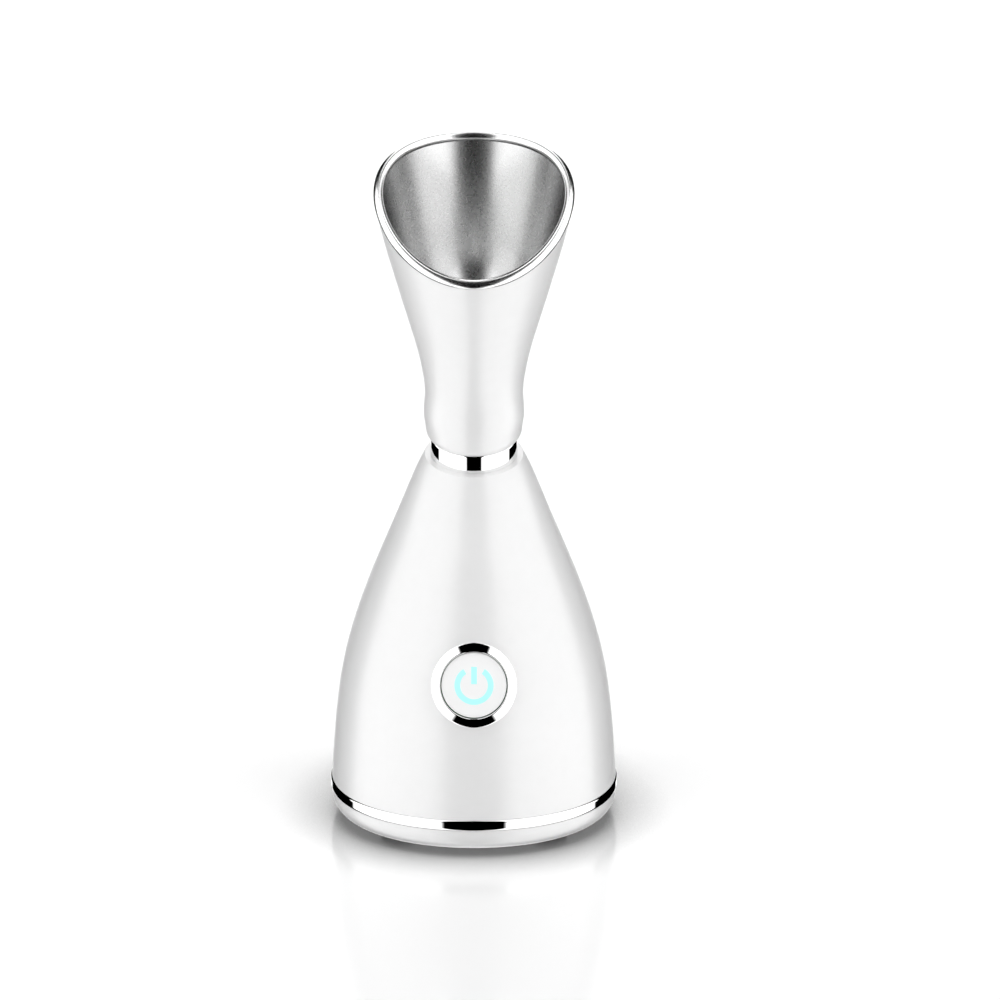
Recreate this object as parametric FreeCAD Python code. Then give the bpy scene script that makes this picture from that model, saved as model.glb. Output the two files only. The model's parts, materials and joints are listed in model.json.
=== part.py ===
"""Table-top facial steamer: a bell-shaped body on an egg-shaped footprint, a neck that leans forward,
a turning steam head with a slanted mouth, a push button, and a water tank that pulls out at the back.

Frame: millimetres, +Z up, the front of the steamer (button and mouth) towards -Y.
The origin is the centre of the footprint on the surface that the feet stand on.
"""
import FreeCAD, Part
import math
import os

V = FreeCAD.Vector

# ---------------------------------------------------------------- driving dimensions
overall_height = 252.0
base_width = 105.0
base_depth = 133.0
egg_share = 0.18            # how much wider the footprint is in front of its middle

running_gap = 0.08          # turning and sliding fits, on the radius
close_gap = 0.05            # parts that push together
panel_gap = 0.4             # round the tank's cover, the tank and the head's lower edge

foot_height = 2.0
foot_radius = 6.0
foot_seat = 0.8
cover_top = 10.0            # bottom cover, up to the bright band
cover_floor = 2.4
cover_wall = 4.5
cover_round = 6.0
lip_height = 5.5            # cover's lip that centres the band and the shell
lip_wall = 1.6
band_height = 4.0
band_proud = 0.4
band_depth = 3.25

wall = 2.4                  # body shell
body_outline = [            # (share of the bell's height, share of its widening) from the band up
    (0.0, 1.0), (0.179, 0.954), (0.359, 0.862), (0.538, 0.681), (0.733, 0.411), (0.896, 0.170),
    (1.0, 0.037),
]
round_centre_lean = 2.3     # how far that centre moves forward from the band to the neck

neck_tilt = 15.0            # the neck and the head lean forward by this angle, in degrees
neck_y = -18.2              # centre of the head's lower edge
neck_z = 143.4
ring_height = 7.6           # the part of the bright ring's well that shows
ring_depth = 4.4            # the part of the ring that sits in the shell

sleeve_radius = 13.0        # fixed sleeve that the head turns on
sleeve_wall = 2.0
sleeve_ledge = 1.1          # how far the sleeve's flange reaches past the ring
ring_wall = 2.5             # bright ring round the sleeve
neck_rim = 2.2              # shell's rim round the bright ring
collar_wall = 1.85          # from the sleeve to the outside of the head's bush
collar_top = 12.0
waist_wall = 2.7            # from the bush to the head's outside

waist_height = 16.5         # distances up the head's axis, from its lower edge
mouth_radius = 36.4         # at the mouth's back lip
mouth_rise = 27.1           # from the front lip up to the back lip, along the head's axis
lower_outline = [           # (distance up, radius less the waist's)
    (0.0, -1.75), (0.9, -1.0), (4.0, -0.2), (8.5, 0.35),
]
flare_outline = [           # (share of the way to the back lip, share of the widening)
    (0.0, 0.0), (0.113, 0.040), (0.257, 0.172), (0.424, 0.374), (0.592, 0.576), (0.759, 0.768),
    (0.890, 0.893), (1.0, 1.0), (1.13, 1.12),
]
head_wall = 1.9
rim_radius = 1.75
rim_proud = 0.15            # how far the rim stands out of the head's side
liner_wall = 0.6
liner_gap = 0.1
bowl_depth = 28.4           # from the front lip down to the bowl's floor
bowl_turn = 16.0            # height of the bowl's lower round
bowl_flat = 11.5
throat_radius = 8.0
spout_radius = 7.6
spout_flange = 11.0
grille_radius = 9.6

clip_thickness = 1.2
clip_depth = 0.6
riser_radius = 5.0
riser_bore = 3.8
riser_top = 10.0
riser_drop = 16.0
seal_section = 0.7

button_height = 62.8
button_radius = 11.5
button_travel = 1.0
bezel_width = 3.3
bezel_wall = 1.4            # of the neck that goes through the shell
bezel_slope = 24.0          # of the bezel's face, in degrees
bezel_proud = 0.3
cap_crown = 1.3             # middle and edge of the cap's face, above the shell's outside
cap_edge = 0.7
cap_thickness = 2.8
housing_wall = 2.0
housing_depth = 12.0
switch_board = 1.4          # thickness of the board behind the cap
switch_half_width = 3.0
switch_height = 2.6
switch_floor = 0.4
stem_radius = 1.7
plunger_end = -6.9
icon_radius = 5.9
icon_stroke = 2.1
icon_bar = 6.2
icon_bar_middle = 3.5       # from the symbol's centre up to the middle of its bar
icon_opening = 33.0         # half of the symbol's opening, in degrees

boiler_y = -8.0
boiler_radius = 20.0
boiler_wall = 1.6
boiler_bottom = 34.0
boiler_top = 60.0
flange_width = 5.0
flange_thickness = 1.5
gasket_thickness = 1.0
lid_thickness = 2.5
nipple_height = 12.0
heater_radius = 17.0
heater_thickness = 4.0
leg_radius = 2.3
pipe_wall = 1.9
feed_radius = 3.4           # water nipples on the boiler and the dock
feed_reach = 2.6
stud_radius = 1.2            # screws that clamp the boiler's lid, gasket, cup and stand
stud_head = 2.2
stud_clear = 1.3             # their holes in the clamped parts
stud_thread = 1.25           # and in the stand
thermostat_radius = 6.3
fuse_radius = 1.8
fuse_length = 11.0
pipe_bend_radius = 45.0

tank_half_width = 28.5
tank_wall = 1.8
tank_front = 25.5
tank_bottom = 37.0
tank_top = 80.0
tank_corner = 6.0
window_margin = 1.5
window_bottom = 35.0
window_top = 88.0
spigot_height = 45.0
spigot_radius = 4.0
spigot_bore = 2.4
spigot_seal_section = 0.4
spigot_length = 4.5
cage_radius = 5.2
cage_length = 7.5           # with the valve pushed fully open
cage_wall = 0.8
valve_travel = 1.5
poppet_radius = 3.7
poppet_thickness = 1.3
poppet_stem = 1.0
spring_radius = 2.2
spring_wire = 0.3
spring_turns = 5.0
cap_flange = 5.8
filler_radius = 4.2
dock_height = 62.0

level_half_width = 3.5
level_bottom = 42.0
level_top = 60.0
grip_height = 70.0
grip_half_length = 16.0
grip_radius = 2.2
grip_stand = 8.5

inlet_height = 23.0
inlet_half_width = 10.0
inlet_half_height = 6.4
inlet_corner = 5.0
inlet_depth = 19.0
inlet_wall = 1.8
pin_spacing = 8.6
pin_radius = 1.2

board_half_width = 26.0
board_depth = 16.5
board_setback = 14.0        # from the footprint's front
board_bottom = 13.4
board_thickness = 1.6

screw_radius = 1.5
screw_head = 2.8
post_radius = 4.2
wire_radius = 1.1

# ---------------------------------------------------------------- sizes that follow from them
tilt = math.radians(neck_tilt)
ring_radius = sleeve_radius + ring_wall
neck_radius = ring_radius + neck_rim
sleeve_flange = ring_radius + sleeve_ledge
collar_radius = sleeve_radius + collar_wall
waist_radius = collar_radius + waist_wall
button_bore = button_radius + panel_gap
bezel_radius = button_bore + bezel_width
bezel_neck = button_bore + bezel_wall
housing_radius = bezel_neck + 2 * close_gap + housing_wall
switch_low = switch_board - housing_depth
cage_depth = cage_length + valve_travel
band_top = cover_top + band_height
half_depth = 0.5 * base_depth
body_half = 0.5 * base_width - band_proud
circle_y = 0.5 * base_width - half_depth
back_bulge = half_depth - circle_y
bell_top = neck_z - ring_height * math.cos(tilt)
rim_inset = rim_radius - rim_proud
rim_rise = overall_height - rim_radius - neck_z
head_length = (rim_rise - (mouth_radius - rim_inset) * math.sin(tilt)) / math.cos(tilt)
ring_seat = ring_height + ring_depth
flange_radius = boiler_radius + flange_width
stud_circle = boiler_radius + 0.5 * flange_width
lid_top = boiler_top + gasket_thickness + lid_thickness
window_half_width = tank_half_width + window_margin
floor_z = foot_height + cover_floor
socket_y = tank_front - spigot_length
filler_y = tank_front + cap_flange + panel_gap
board_front = board_setback - half_depth
board_top = board_bottom + board_thickness


# ---------------------------------------------------------------- small helpers
def export(shape, name):
    """Writes one node's solids to parts/."""
    if len(shape.Solids) == 1:
        shape = shape.Solids[0]
    assert shape.isValid(), name + " is not valid"
    shape.exportStep("parts/" + name + ".step")
    print(f"{name:20s} solids {len(shape.Solids)}  volume {shape.Volume:10.1f}")


def rod(radius, low, high, x=0.0, y=0.0):
    """An upright cylinder between two heights."""
    return Part.makeCylinder(radius, high - low, V(x, y, low))


def tube(outer, inner, low, high, x=0.0, y=0.0):
    """An upright tube between two heights."""
    return rod(outer, low, high, x, y).cut(rod(inner, low - 1, high + 1, x, y))


def block(x0, x1, y0, y1, z0, z1):
    return Part.makeBox(x1 - x0, y1 - y0, z1 - z0, V(x0, y0, z0))


def rounded_plate(half_width, low, high, corner, y0, y1):
    """A plate across X and Z with round corners, between two Y values."""
    plate = block(-half_width, half_width, y0, y1, low, high)
    upright = [e for e in plate.Edges if abs(e.Vertexes[0].Y - e.Vertexes[1].Y) > 0.5 * (y1 - y0)]
    return plate.makeFillet(corner, upright)


def framed(shape, origin, turn):
    """Places a shape in a frame at an origin, turned about X by an angle in degrees."""
    placed = shape.copy()
    placed.Placement = FreeCAD.Placement(origin, FreeCAD.Rotation(V(1, 0, 0), turn)) * shape.Placement
    return placed


def along_y(shape, y, z, x=0.0):
    """Turns a shape made about +Z so that it runs towards +Y from a point."""
    return framed(shape, V(x, y, z), -90)


def turned(edges):
    """Spins a closed outline of edges in the XZ plane about Z."""
    outline = Part.Wire(Part.__sortEdges__(edges))
    return Part.Face(outline).revolve(V(0, 0, 0), V(0, 0, 1), 360)


def polyline(points):
    return [Part.makeLine(a, b) for a, b in zip(points, points[1:])]


def spun(points):
    """Spins a closed polygon of (radius, height) points about Z."""
    corners = [V(r, 0, h) for r, h in points]
    return turned(polyline(corners + corners[:1]))


def curve_by_share(stations):
    """A curve that gives a value at any share of the way along it."""
    curve = Part.BSplineCurve()
    curve.interpolate(Points=[V(v, 0, s) for s, v in stations], Parameters=[s for s, v in stations])
    return curve


def bent_path(points, share=0.45):
    """Straight runs joined by tangent arcs, each as large as its two runs allow."""
    edges = []
    start = points[0]
    for before, corner, after in zip(points, points[1:], points[2:]):
        run_in = corner - before
        run_out = after - corner
        turn = run_in.getAngle(run_out)
        reach = share * min(run_in.Length, run_out.Length)
        first = corner - V(run_in).normalize() * reach
        last = corner + V(run_out).normalize() * reach
        inward = V(run_out).normalize() - V(run_in).normalize()
        radius = reach / math.tan(turn / 2)
        middle = corner + inward.normalize() * (radius / math.cos(turn / 2) - radius)
        edges.append(Part.makeLine(start, first))
        edges.append(Part.Arc(first, middle, last).toShape())
        start = last
    edges.append(Part.makeLine(start, points[-1]))
    return Part.Wire(edges)


def swept_rod(points, radius):
    """A round rod along straight runs and tangent arcs."""
    path = bent_path(points)
    profile = Part.Wire(Part.makeCircle(radius, points[0], points[1] - points[0]))
    return path.makePipeShell([profile], True, False)


def on_circle(count, radius, start=0.0):
    """Evenly spaced places on a circle about the Z axis."""
    angles = [math.radians(start + 360.0 * i / count) for i in range(count)]
    return [V(radius * math.cos(a), radius * math.sin(a), 0) for a in angles]


def screw(x, y, low, high, radius=screw_radius, head=screw_head, head_down=True):
    """A pan-head screw with a cross recess; its shank fills low to high."""
    head_height = 1.2 * radius
    slot = 0.35 * radius
    shape = rod(radius, low, high, x, y)
    z0 = low - head_height if head_down else high
    shape = shape.fuse(rod(head, z0, z0 + head_height, x, y))
    face = z0 if head_down else z0 + head_height
    for wide, deep in ((0.6 * head, 0.5 * slot), (0.5 * slot, 0.6 * head)):
        shape = shape.cut(block(x - wide, x + wide, y - deep, y + deep, face - slot, face + slot))
    return shape


# ---------------------------------------------------------------- body form
body_curve = curve_by_share(body_outline)
bell_heights = [band_top + (bell_top - band_top) * s
                for s in (0.0, 0.09, 0.18, 0.27, 0.36, 0.45, 0.54, 0.63, 0.72)]
leaning = [(0.81, 0.27), (0.90, 0.64)]      # (share of the height, share of the neck's tilt)


def egg_wire(half_width, front, back, height, lean=0.0):
    """A closed egg-shaped outline, widest in front of its middle, leaning by an angle about X."""
    depth = 0.5 * (back - front)
    middle = 0.5 * (back + front)
    share = egg_share * max(0.0, depth - half_width) / (half_depth - 0.5 * base_width)
    widest = 1.0
    if share > 1e-6:
        cosine = (math.sqrt(1 + 8 * share * share) - 1) / (4 * share)
        widest = math.sqrt(1 - cosine * cosine) * (1 + share * cosine)
    points = []
    for i in range(28):
        t = 2 * math.pi * i / 28
        x = half_width * math.sin(t) * (1 + share * math.cos(t)) / widest
        y = -depth * math.cos(t)
        points.append(V(x, middle + y * math.cos(lean), height + y * math.sin(lean)))
    curve = Part.BSplineCurve()
    curve.interpolate(Points=points, PeriodicFlag=True)
    return Part.Wire(curve.toShape())


def bell_section(height, inset, lean=0.0):
    """The bell's outline at a height, moved inwards by inset."""
    share = (height - band_top) / (bell_top - band_top)
    half_width = neck_radius + (body_half - neck_radius) * body_curve.value(share).x
    centre = circle_y - round_centre_lean * share ** 1.6
    bulge = (back_bulge - neck_radius) / (0.5 * base_width - neck_radius)
    back = centre + neck_radius + (half_width - neck_radius) * bulge
    return egg_wire(half_width - inset, centre - half_width + inset, back - inset, height, lean)


def neck_section(distance, radius):
    """A round outline across the neck's axis, at a distance along it from the head's lower edge."""
    y = neck_y - distance * math.sin(tilt)
    z = neck_z + distance * math.cos(tilt)
    return egg_wire(radius, y - radius, y + radius, z, tilt)


def bell(inset):
    """The bell as a solid, with its surface moved inwards by inset."""
    wires = [bell_section(h, inset) for h in bell_heights]
    for share, lean in leaning:
        height = band_top + (bell_top - band_top) * share
        wires.append(bell_section(height, inset, lean * tilt))
    wires.append(neck_section(-ring_height, neck_radius - inset))
    return Part.makeLoft(wires, True, False)


def base_plug(inset, low, high):
    """The footprint as a straight-sided plug."""
    wire = egg_wire(0.5 * base_width - inset, inset - half_depth, half_depth - inset, low)
    return Part.Face(wire).extrude(V(0, 0, high - low))


def reach_y(solid, height, side, x=0.0):
    """Where a line along Y leaves a solid: side -1 is its front, side +1 its back."""
    line = Part.makeLine(V(x, -300, height), V(x, 300, height))
    return side * max(side * v.Y for v in solid.common(line).Vertexes)


def at_neck(shape):
    """Places a shape made about Z on the neck's leaning axis; Z = 0 is the head's lower edge."""
    return framed(shape, V(0, neck_y, neck_z), neck_tilt)


outer_bell = bell(0.0)
inner_bell = bell(wall)
front_y = reach_y(outer_bell, button_height, -1)
front_rise = reach_y(outer_bell, button_height + 1, -1) - reach_y(outer_bell, button_height - 1, -1)
button_lean = math.degrees(math.atan2(front_rise, 2.0))


def at_button(shape):
    """Places a shape made about Z on the button's axis: Z = 0 is the shell's outside, +Z outwards."""
    return framed(shape, V(0, front_y, button_height), 90 - button_lean)


def window_prism(gap, y0=-5.0, y1=150.0):
    """The opening for the tank in the shell's back, less a gap all round."""
    return rounded_plate(window_half_width - gap, window_bottom + gap, window_top - gap,
                         tank_corner + window_margin - gap, y0, y1)


# ---------------------------------------------------------------- base
def screw_places():
    """Four screws through the bottom cover into the shell's bosses."""
    x_front = 0.5 * base_width - 14.5
    x_back = 0.5 * base_width - 21.5
    y_front = circle_y - 12
    y_back = half_depth - 32
    return [(x_front, y_front), (-x_front, y_front), (x_back, y_back), (-x_back, y_back)]


def foot_places():
    x_front = 0.5 * base_width - 25
    x_back = 0.5 * base_width - 36
    y_front = circle_y - 24
    y_back = half_depth - 18
    return [(x_front, y_front), (-x_front, y_front), (x_back, y_back), (-x_back, y_back)]


def board_places():
    x = board_half_width - 3.5
    return [(sx * x, board_front + y) for sx in (-1, 1) for y in (3.5, board_depth - 3.5)]


boss_low = cover_top + lip_height + 1.0


def base_cover():
    shape = base_plug(band_proud, foot_height, cover_top)
    bottom = [e for e in shape.Edges if e.BoundBox.ZMax < foot_height + 0.1]
    shape = shape.makeFillet(cover_round, bottom)
    shape = shape.cut(base_plug(band_proud + cover_wall, floor_z, cover_top + 1))
    lip = base_plug(band_depth + close_gap, cover_top - 1, cover_top + lip_height)
    lip = lip.cut(base_plug(band_depth + close_gap + lip_wall, cover_top - 2, cover_top + lip_height + 1))
    shape = shape.fuse(lip)
    for x, y in screw_places():
        shape = shape.fuse(rod(post_radius, floor_z - 1, boss_low - 0.2, x, y))
    for x, y in board_places():
        shape = shape.fuse(rod(2.6, floor_z - 1, board_bottom, x, y))
    for x, y in screw_places():
        shape = shape.cut(rod(screw_head + 0.4, foot_height - 1, foot_height + 6, x, y))
        shape = shape.cut(rod(screw_radius + 0.1, foot_height, boss_low, x, y))
    for x, y in board_places():
        shape = shape.cut(rod(1.25, floor_z, board_bottom + 1, x, y))
    for x, y in foot_places():
        shape = shape.cut(rod(foot_radius + close_gap, foot_height - 1, foot_height + foot_seat, x, y))
    return shape.removeSplitter()


def rubber_feet():
    feet = []
    for x, y in foot_places():
        foot = rod(foot_radius, 0, foot_height + foot_seat - close_gap, x, y)
        feet.append(foot.makeFillet(0.6, [e for e in foot.Edges if e.BoundBox.ZMax < 0.1]))
    return Part.makeCompound(feet)


def base_screws():
    low = foot_height + 6
    return Part.makeCompound([screw(x, y, low, low + 16) for x, y in screw_places()])


def trim_band():
    shape = base_plug(0, cover_top, band_top)
    outer = [e for e in shape.Edges if e.BoundBox.ZLength < 0.1]
    shape = shape.makeFillet(0.9, outer)
    return shape.cut(base_plug(band_depth, cover_top - 1, band_top + 1))


# ---------------------------------------------------------------- body shell
def base_shell():
    cavity = inner_bell.cut(at_neck(rod(60, -ring_seat, 60)))
    shape = outer_bell.cut(cavity)
    shape = shape.cut(at_neck(rod(ring_radius + close_gap, -ring_seat - 1, 20)))
    for x, y in screw_places():
        side = math.copysign(1, x)
        boss = rod(3.6, boss_low, boss_low + 14, x, y)
        rib = block(min(x, x + 16 * side), max(x, x + 16 * side), y - 1.1, y + 1.1, boss_low, boss_low + 14)
        shape = shape.fuse(boss.fuse(rib).common(bell(0.5 * wall)))
    for x, y in screw_places():
        shape = shape.cut(rod(screw_radius + close_gap, boss_low - 1, boss_low + 9.5, x, y))
    shape = shape.cut(window_prism(0.0))
    shape = shape.cut(at_button(rod(bezel_neck + close_gap, -housing_depth, 8)))
    inlet = rounded_plate(inlet_half_width + close_gap, inlet_height - inlet_half_height - close_gap,
                          inlet_height + inlet_half_height + close_gap, inlet_corner, 40, 150)
    return shape.cut(inlet).removeSplitter()


# ---------------------------------------------------------------- neck
def neck_ring():
    """Bright ring between the body and the head; the head turns above it."""
    low = -ring_seat + close_gap
    shape = tube(ring_radius, sleeve_radius + close_gap, low, -panel_gap)
    outer = [e for e in shape.Edges
             if e.BoundBox.ZMin > -panel_gap - 0.1 and e.BoundBox.XMax > ring_radius - 0.1]
    return at_neck(shape.makeFillet(0.5, outer))


def neck_sleeve():
    """Fixed sleeve that the head turns on, with the steam riser up its middle."""
    low = -ring_seat - 2.0
    shape = rod(sleeve_radius, low, collar_top + 3).fuse(rod(sleeve_flange, low, -ring_seat))
    shape = shape.cut(rod(sleeve_radius - sleeve_wall, low - 1, -4))
    shape = shape.cut(rod(sleeve_radius - sleeve_wall, -2, collar_top + 4))
    shape = shape.fuse(rod(riser_radius, -riser_drop, riser_top))
    shape = shape.cut(rod(riser_bore, -riser_drop - 1, riser_top + 1))
    groove = collar_top + 0.15
    shape = shape.cut(tube(20, sleeve_radius - clip_depth, groove, groove + clip_thickness + 0.1))
    shape = shape.cut(tube(7, riser_radius - 0.4, riser_top - 4.1, riser_top - 2.3))
    return at_neck(shape)


def friction_washer():
    """Thin washer that the turning head rests on."""
    return at_neck(tube(collar_radius - 0.1, sleeve_radius + 0.1, -panel_gap, panel_gap))


def retaining_clip():
    low = collar_top + 0.2
    shape = tube(sleeve_radius + 1.4, sleeve_radius - clip_depth + close_gap, low, low + clip_thickness)
    return at_neck(shape.cut(block(-4.5, 4.5, 0, 20, low - 1, low + 2 * clip_thickness)))


def riser_seal():
    return at_neck(Part.makeTorus(riser_radius + 0.3, seal_section, V(0, 0, riser_top - 3.2)))


# ---------------------------------------------------------------- steam head
head_stations = [(s, waist_radius + r) for s, r in lower_outline]
for share, out in flare_outline:
    head_stations.append((waist_height + share * (head_length - waist_height),
                          waist_radius + out * (mouth_radius - waist_radius)))
head_curve = curve_by_share(head_stations)
head_top = head_stations[-1][0] - 0.5


def head_radius(distance):
    return head_curve.value(distance).x


def head_edge(inset, low, high):
    """The head's side, moved inwards, as a smooth edge between two distances up its axis."""
    heights = [low + (high - low) * i / 10 for i in range(11)]
    curve = Part.BSplineCurve()
    curve.interpolate(Points=[V(head_radius(h) - inset, 0, h) for h in heights])
    return curve.toShape()


front_reach = head_radius(head_length - mouth_rise)
mouth_span = mouth_radius + front_reach


def mouth_line(reach):
    """Side view of the mouth: its height up the head's axis and its slope, at a distance behind that axis."""
    short = (mouth_radius - reach) / mouth_span
    return head_length - mouth_rise * short * short, 2 * mouth_rise * short / mouth_span


def above_mouth():
    """Everything above the mouth, whose side view is a parabola that lies level at the back lip."""
    front = -1.6 * front_reach
    back = 1.2 * mouth_radius
    low, slope = mouth_line(front)
    high = mouth_line(back)[0]
    curve = Part.BezierCurve()
    curve.setPoles([V(-80, front, low), V(-80, 0.5 * (front + back), low + 0.5 * slope * (back - front)),
                    V(-80, back, high)])
    top = head_length + 30
    sides = polyline([V(-80, back, high), V(-80, back, top), V(-80, front, top), V(-80, front, low)])
    return Part.Face(Part.Wire([curve.toShape()] + sides)).extrude(V(160, 0, 0))


def mouth_edge(angle, inset):
    """A point on the mouth's edge, inset from the head's side, at an angle from the back lip."""
    reach = mouth_radius
    for _ in range(30):
        reach = head_radius(mouth_line(reach * math.cos(angle))[0])
    slope = mouth_line(reach * math.cos(angle))[1] * math.cos(angle)
    reach -= inset / math.sqrt(1 + slope * slope)
    y = reach * math.cos(angle)
    return V(reach * math.sin(angle), y, mouth_line(y)[0])


def rim_tube(radius):
    """A round bar along the mouth's edge, lofted through circles that stand across it."""
    count = 32
    points = [mouth_edge(2 * math.pi * i / count, rim_inset) for i in range(count)]
    edge = Part.BSplineCurve()
    edge.interpolate(Points=points, PeriodicFlag=True)
    circles = []
    for i in range(count):
        at = edge.FirstParameter + (edge.LastParameter - edge.FirstParameter) * i / count
        centre = edge.value(at)
        along = edge.tangent(at)[0]
        outwards = V(centre.x, centre.y, 0)
        circle = Part.makeCircle(radius)
        turn = FreeCAD.Rotation(outwards, V(0, 0, 0), along, "ZXY")
        circle.Placement = FreeCAD.Placement(centre, turn)
        circles.append(Part.Wire(circle))
    return Part.makeLoft(circles, True, False, True)


bowl_floor = mouth_edge(math.pi, rim_inset).z - bowl_depth


def head_shell():
    bore = collar_radius + close_gap
    step = collar_top + 2 * clip_thickness + 0.6
    edges = [head_curve.toShape(0, head_top), head_edge(head_wall, step, head_top)]
    edges += polyline([V(head_radius(0), 0, 0), V(bore, 0, 0), V(bore, 0, step),
                       V(head_radius(step) - head_wall, 0, step)])
    edges += polyline([V(head_radius(head_top), 0, head_top),
                       V(head_radius(head_top) - head_wall, 0, head_top)])
    shape = turned(edges).cut(above_mouth())
    return at_neck(shape.cut(rim_tube(rim_radius + close_gap)))


def mouth_rim():
    return at_neck(rim_tube(rim_radius))


def bowl_edges(skin, low):
    """One side of the bowl's wall: down the head's side, then round onto a flat floor."""
    turn = bowl_floor + bowl_turn
    top = V(head_radius(turn) - skin, 0, turn)
    slope = (head_radius(turn + 1) - head_radius(turn - 1)) / 2
    down = V(-slope, 0, -1).normalize() * (0.5 * bowl_turn)
    floor = V(bowl_flat, 0, low)
    curve = Part.BezierCurve()
    curve.setPoles([top, top + down, floor + V(0.45 * (top.x - bowl_flat), 0, 0), floor])
    return [head_edge(skin, turn, head_top), curve.toShape(), Part.makeLine(floor, V(throat_radius, 0, low))]


def mouth_liner():
    """Bright metal bowl inside the head, with the throat in its floor."""
    outer = head_wall + liner_gap
    edges = bowl_edges(outer, bowl_floor) + bowl_edges(outer + liner_wall, bowl_floor + liner_wall)
    edges.append(Part.makeLine(V(head_radius(head_top) - outer, 0, head_top),
                               V(head_radius(head_top) - outer - liner_wall, 0, head_top)))
    edges.append(Part.makeLine(V(throat_radius, 0, bowl_floor), V(throat_radius, 0, bowl_floor + liner_wall)))
    shape = turned(edges).cut(above_mouth())
    return at_neck(shape.cut(rim_tube(rim_radius + close_gap)))


def steam_nozzle():
    """Carries steam from the riser to the bowl; its lower end turns round the riser."""
    bore = riser_radius + 0.3 + seal_section + running_gap
    top = bowl_floor + liner_wall + 1.4
    shape = rod(spout_radius, 3, top).fuse(rod(spout_flange, bowl_floor - 2, bowl_floor - close_gap))
    return at_neck(shape.cut(rod(bore, 2, top + 1)))


def nozzle_grille():
    floor = bowl_floor + liner_wall + close_gap
    top = bowl_floor + liner_wall + 1.4 + close_gap
    shape = rod(grille_radius, floor, top + 1.1)
    shape = shape.makeFillet(0.8, [e for e in shape.Edges if e.BoundBox.ZMin > top + 1])
    shape = shape.cut(rod(spout_radius + close_gap, floor - 1, top))
    shape = shape.cut(rod(1.2, floor, top + 2))
    for place in on_circle(6, 4.6):
        shape = shape.cut(rod(1.2, floor, top + 2, place.x, place.y))
    return at_neck(shape)


def swivel_collar():
    """Bush in the head's lower end; it turns on the fixed sleeve."""
    return at_neck(tube(collar_radius, sleeve_radius + running_gap, panel_gap + close_gap, collar_top))


# ---------------------------------------------------------------- button
def button_bezel():
    """Bright ring whose face falls away outwards; its neck goes through the shell."""
    crest = bezel_proud + bezel_width * math.tan(math.radians(bezel_slope))
    face = spun([(button_bore, -8), (button_bore, crest - 0.2), (button_bore + 0.25, crest),
                 (bezel_radius - 0.15, bezel_proud), (bezel_radius, bezel_proud - 0.2), (bezel_radius, -8)])
    neck = at_button(tube(bezel_neck, button_bore, -8, 2)).common(outer_bell).cut(bell(wall + 0.6))
    return at_button(face).cut(outer_bell).fuse(neck).removeSplitter()


def icon_outline(gap):
    """The power symbol's broken ring and its bar, as two upright prisms on the Z axis."""
    low = cap_crown - 1.5
    high = cap_crown + 2
    outer = icon_radius + 0.5 * icon_stroke + gap
    inner = icon_radius - 0.5 * icon_stroke - gap
    reach = 3 * icon_radius
    half = math.radians(icon_opening)
    corners = [V(0, 0, low - 1), V(reach * math.sin(half), reach * math.cos(half), low - 1),
               V(-reach * math.sin(half), reach * math.cos(half), low - 1)]
    wedge = Part.Face(Part.Wire(polyline(corners + corners[:1]))).extrude(V(0, 0, high - low + 2))
    bar_half = 0.5 * icon_stroke + gap
    bar_low = icon_bar_middle - 0.5 * icon_bar - gap
    bar = block(-bar_half, bar_half, bar_low, bar_low + icon_bar + 2 * gap, low, high)
    return [tube(outer, inner, low, high).cut(wedge), bar]


def cap_dome():
    """Solid under the cap's slightly crowned face."""
    rise = cap_crown - cap_edge
    radius = (button_radius ** 2 + rise ** 2) / (2 * rise)
    return Part.makeSphere(radius, V(0, 0, cap_crown - radius))


def button_cap():
    """Round crowned cap, hollow behind, with a skirt that guides it in the bezel."""
    shape = rod(button_radius, -6, cap_crown + 1).common(cap_dome())
    shape = shape.makeFillet(0.35, [e for e in shape.Edges if abs(e.BoundBox.ZMin - cap_edge) < 0.05
                                    and e.BoundBox.ZLength < 0.05])
    shape = shape.cut(rod(button_radius - 1.4, -7, cap_crown - cap_thickness))
    for piece in icon_outline(0.0):
        shape = shape.cut(piece)
    return at_button(shape)


def power_icon():
    """Light guide in the shape of a power symbol, let into the cap."""
    return Part.makeCompound([at_button(piece.common(cap_dome())) for piece in icon_outline(-close_gap)])


def switch_plunger():
    """Pushes the switch's stem when the cap is pressed."""
    top = cap_crown - cap_thickness - close_gap
    return at_button(rod(3.2, top - 1.2, top).fuse(rod(stem_radius, plunger_end, top - 1)))


def switch_stem():
    """The switch's own stem; it goes down with the cap and stops above the switch's floor."""
    low = switch_low + switch_floor + button_travel + close_gap
    return at_button(rod(stem_radius, low, plunger_end - close_gap))


def button_housing():
    """Cup behind the shell that guides the cap and holds its switch board."""
    shape = tube(housing_radius, bezel_neck + 2 * close_gap, -housing_depth, 4)
    return at_button(shape).common(bell(wall + close_gap))


def button_board():
    return at_button(rod(bezel_neck, -housing_depth, switch_low))


def tact_switch():
    """Housing of the switch, open at its top for the stem."""
    half = switch_half_width
    body = block(-half, half, -half, half, switch_low, switch_low + switch_height)
    return at_button(body.cut(rod(stem_radius + running_gap, switch_low + switch_floor, 0)))


def button_leds():
    leds = [block(p.x - 1.2, p.x + 1.2, -1.2, 1.2, switch_low, switch_low + 1.0) for p in on_circle(2, 6.5)]
    return Part.makeCompound([at_button(led) for led in leds])


# ---------------------------------------------------------------- boiler
def stud_places():
    return [V(p.x, p.y + boiler_y, 0) for p in on_circle(6, stud_circle)]


def with_stud_holes(shape, radius, low, high):
    for p in stud_places():
        shape = shape.cut(rod(radius, low, high, p.x, p.y))
    return shape


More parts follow.
